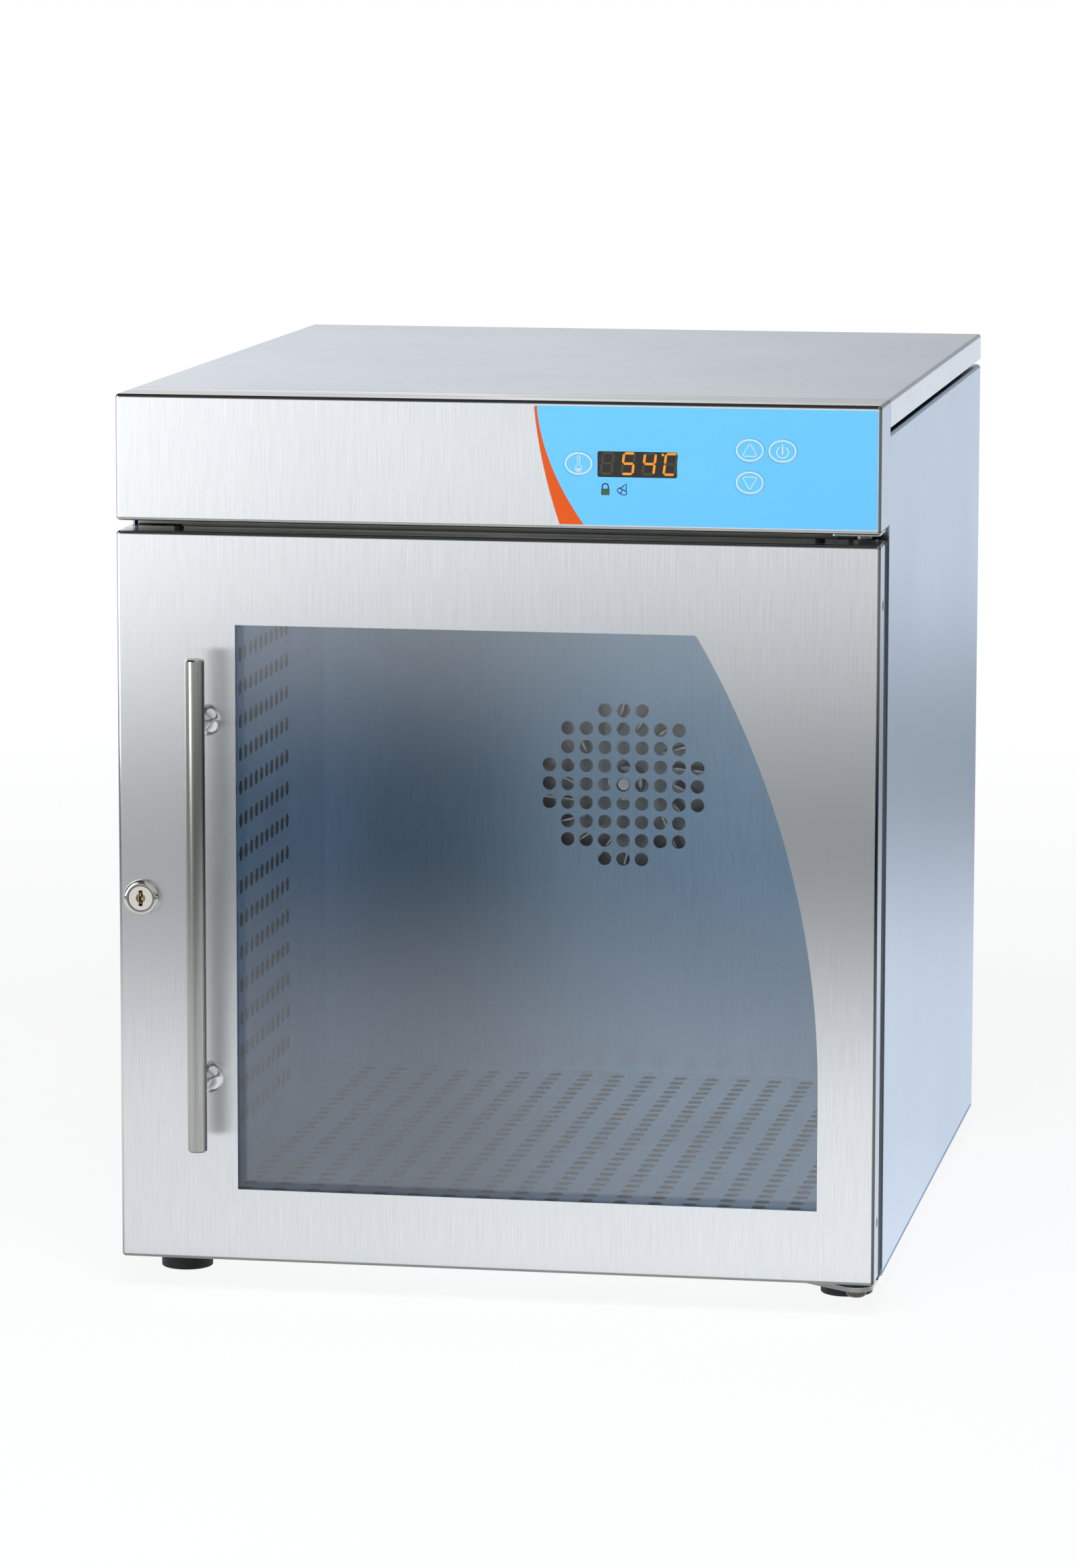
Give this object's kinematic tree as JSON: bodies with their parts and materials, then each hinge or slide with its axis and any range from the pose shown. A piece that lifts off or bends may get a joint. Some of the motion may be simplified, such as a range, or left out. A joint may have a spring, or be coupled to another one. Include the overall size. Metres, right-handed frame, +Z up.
{
  "type": "blanket warming cabinet",
  "caption": "Countertop blanket warming cabinet: folded steel case, glazed side-hinged door with bar handle and lock, digital control header, heated chamber.",
  "frame": {"origin": "on the plane under the feet, below the middle of the whole object's box", "axes": "+Z up, the door faces -Y, +X is the hinge side (right, seen from the front)"},
  "size_m": [0.473, 0.6244, 0.561],
  "materials": {
    "case_steel": "cold-rolled stainless sheet, smooth, slightly blue",
    "door_steel": "vertically grained stainless sheet",
    "chamber_steel": "plain stainless sheet",
    "plated_steel": "zinc-plated sheet and fasteners",
    "handle_steel": "satin bar",
    "lock_chrome": "bright chrome plate",
    "bracket_steel": "bare steel plate",
    "screw_black": "black zinc",
    "seal_rubber": "matt black",
    "foot_rubber": "matt black",
    "bush_plastic": "black acetal",
    "spacer_black": "black spacer bar",
    "pane_glass": "clear float glass",
    "label_film": "printed polyester film, blue with an orange stripe",
    "key_film": "embossed polyester film",
    "display_lens": "smoked acrylic",
    "display_body": "black moulded",
    "board_green": "glass-epoxy board",
    "switch_black": "black moulded",
    "mineral_wool": "fibre batt",
    "motor_paint": "dark grey enamel",
    "fan_aluminium": "pressed sheet",
    "shaft_steel": "ground",
    "heater_sheath": "heat-tinted stainless tube",
    "sensor_steel": "polished tube",
    "supply_case": "folded sheet",
    "terminal_white": "moulded polyamide",
    "inlet_black": "moulded",
    "wire_pvc": "grey sleeve"
  },
  "bodies": {
    "root": {"side_panel_left": "case_steel", "side_panel_right": "case_steel", "base_pan": "case_steel", "front_post_left": "case_steel", "front_post_right": "case_steel", "front_rail_top": "case_steel", "back_panel": "case_steel", "rear_rail": "plated_steel", "top_cover": "case_steel", "control_shelf": "plated_steel", "header_housing": "door_steel", "case_screws": "plated_steel", "chamber_liner": "chamber_steel", "chamber_back": "chamber_steel", "duct_panel_left": "chamber_steel", "duct_panel_right": "chamber_steel", "duct_panel_floor": "chamber_steel", "duct_panel_back": "chamber_steel", "insulation_batts": "mineral_wool", "fan_motor": "motor_paint", "heater_element": "heater_sheath", "temperature_probe": "sensor_steel", "high_limit_thermostat": "plated_steel", "control_label": "label_film", "display_window": "display_lens", "display_module": "display_body", "control_board": "board_green", "tact_switches": "switch_black", "power_supply": "supply_case", "terminal_block": "terminal_white", "power_inlet": "inlet_black", "wiring": "wire_pvc", "latch_strike": "plated_steel", "hinge_bracket_top": "bracket_steel", "hinge_bracket_bottom": "bracket_steel", "hinge_pins": "handle_steel", "thrust_washer": "bush_plastic", "rubber_feet": "foot_rubber", "foot_screws": "plated_steel"},
    "door": {"door_skin": "door_steel", "door_inner_pan": "chamber_steel", "window_panes": "pane_glass", "glazing_spacer": "spacer_black", "door_gasket": "seal_rubber", "handle_bar": "handle_steel", "handle_posts": "handle_steel", "handle_screws": "plated_steel", "door_screws": "screw_black", "hinge_bushings": "bush_plastic", "lock_housing": "lock_chrome", "lock_nut": "plated_steel"},
    "lock": {"lock_plug": "lock_chrome", "lock_cam": "plated_steel", "lock_cam_nut": "plated_steel"},
    "fan": {"fan_shaft": "shaft_steel", "fan_impeller": "fan_aluminium"},
    "key_set_body": {"key_set": "key_film"},
    "key_up_body": {"key_up": "key_film"},
    "key_down_body": {"key_down": "key_film"},
    "key_power_body": {"key_power": "key_film"}
  },
  "joints": [
    {"name": "door_hinge", "type": "hinge", "parent": "root", "child": "door", "pos_m": [0.2235, -0.25675, 0.2486], "axis": [0, 0, 1], "range_deg": [0, 170]},
    {"name": "lock_turn", "type": "hinge", "parent": "door", "child": "lock", "pos_m": [-0.2216, -0.27675, 0.2486], "axis": [0, 1, 0], "range_deg": [0, 90]},
    {"name": "fan_spin", "type": "hinge", "parent": "root", "child": "fan", "pos_m": [0, 0.26325, 0.251], "axis": [0, 1, 0], "continuous": true},
    {"name": "key_set_press", "type": "slide", "parent": "root", "child": "key_set_body", "axis": [0, 1, 0], "range_m": [0, 0.0003], "stiffness_N_per_m": 5000},
    {"name": "key_up_press", "type": "slide", "parent": "root", "child": "key_up_body", "axis": [0, 1, 0], "range_m": [0, 0.0003], "stiffness_N_per_m": 5000},
    {"name": "key_down_press", "type": "slide", "parent": "root", "child": "key_down_body", "axis": [0, 1, 0], "range_m": [0, 0.0003], "stiffness_N_per_m": 5000},
    {"name": "key_power_press", "type": "slide", "parent": "root", "child": "key_power_body", "axis": [0, 1, 0], "range_m": [0, 0.0003], "stiffness_N_per_m": 5000}
  ]
}
